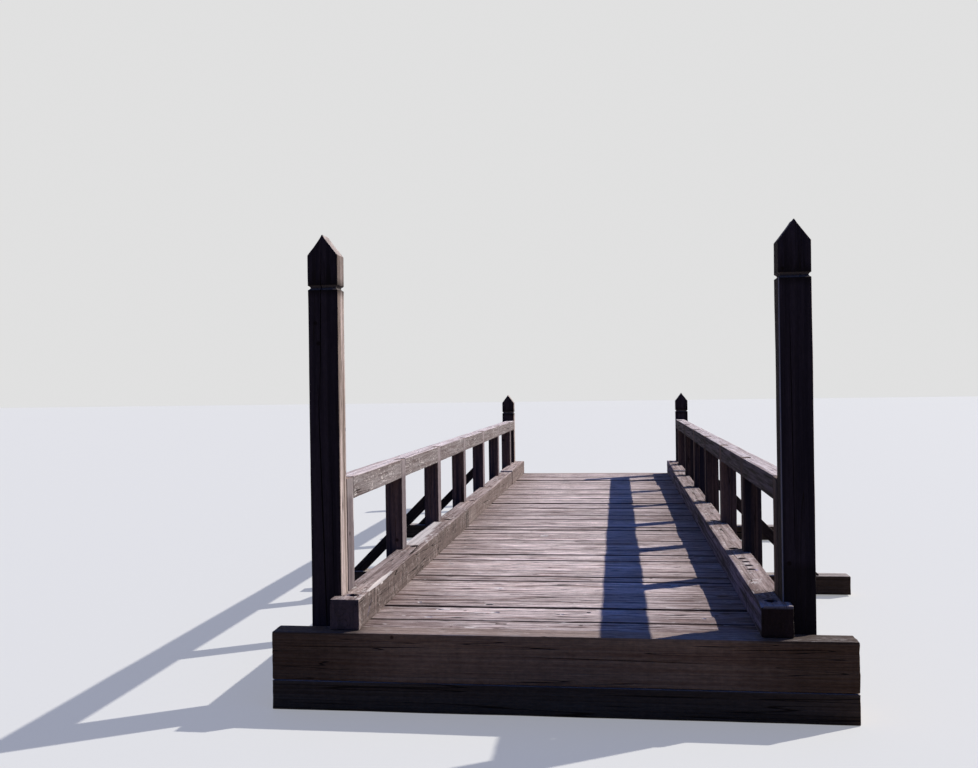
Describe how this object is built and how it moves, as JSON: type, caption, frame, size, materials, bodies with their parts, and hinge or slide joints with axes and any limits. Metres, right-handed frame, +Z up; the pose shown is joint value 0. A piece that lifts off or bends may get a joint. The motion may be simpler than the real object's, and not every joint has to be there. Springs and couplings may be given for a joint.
{
  "type": "wooden footbridge",
  "caption": "Timber footbridge with a plank deck, notched kerbs, post-and-rail sides braced from outrigger beams, tall grooved gable-topped posts at one end and low ones at the other.",
  "frame": {"origin": "middle of the bridge, at the level of the bearing sills' undersides", "axes": "+Y along the bridge from the tall posts to the low ones, +X across to the right, +Z up"},
  "size_m": [5.18, 11.45, 3.057],
  "materials": {
    "post_timber": "rough-sawn posts, weathered dark brown-grey with open drying checks",
    "rail_timber": "weathered pale silver-grey with lichen flecks",
    "kerb_timber": "weathered grey, worn pale along the edges",
    "deck_plank": "walked-on silver-grey planks with raised grain",
    "header_timber": "weathered grey-brown with a worn front edge",
    "girder_timber": "shaded dark brown, rough-sawn",
    "foundation_timber": "damp dark grey-brown, rough-sawn",
    "bolt_iron": "dark rusted iron"
  },
  "bodies": {
    "root": {"bearing_sill_near": "foundation_timber", "bearing_sill_far": "foundation_timber", "outrigger_beam_1": "foundation_timber", "outrigger_beam_2": "foundation_timber", "girder_1": "girder_timber", "girder_2": "girder_timber", "girder_3": "girder_timber", "girder_4": "girder_timber", "girder_5": "girder_timber", "header_near": "header_timber", "header_far": "header_timber", "deck_section_1": "deck_plank", "deck_section_2": "deck_plank", "deck_section_3": "deck_plank", "deck_section_4": "deck_plank", "brace_left_1": "post_timber", "brace_left_2": "post_timber", "gate_post_left": "post_timber", "low_post_left": "post_timber", "rail_post_left_1": "post_timber", "rail_post_left_2": "post_timber", "rail_post_left_3": "post_timber", "rail_post_left_4": "post_timber", "rail_post_left_5": "post_timber", "rail_post_left_6": "post_timber", "rail_post_left_7": "post_timber", "kerb_left_1": "kerb_timber", "kerb_left_2": "kerb_timber", "kerb_left_3": "kerb_timber", "rail_left": "rail_timber", "brace_right_1": "post_timber", "brace_right_2": "post_timber", "gate_post_right": "post_timber", "low_post_right": "post_timber", "rail_post_right_1": "post_timber", "rail_post_right_2": "post_timber", "rail_post_right_3": "post_timber", "rail_post_right_4": "post_timber", "rail_post_right_5": "post_timber", "rail_post_right_6": "post_timber", "rail_post_right_7": "post_timber", "kerb_right_1": "kerb_timber", "kerb_right_2": "kerb_timber", "kerb_right_3": "kerb_timber", "rail_right": "rail_timber"}
  },
  "joints": []
}
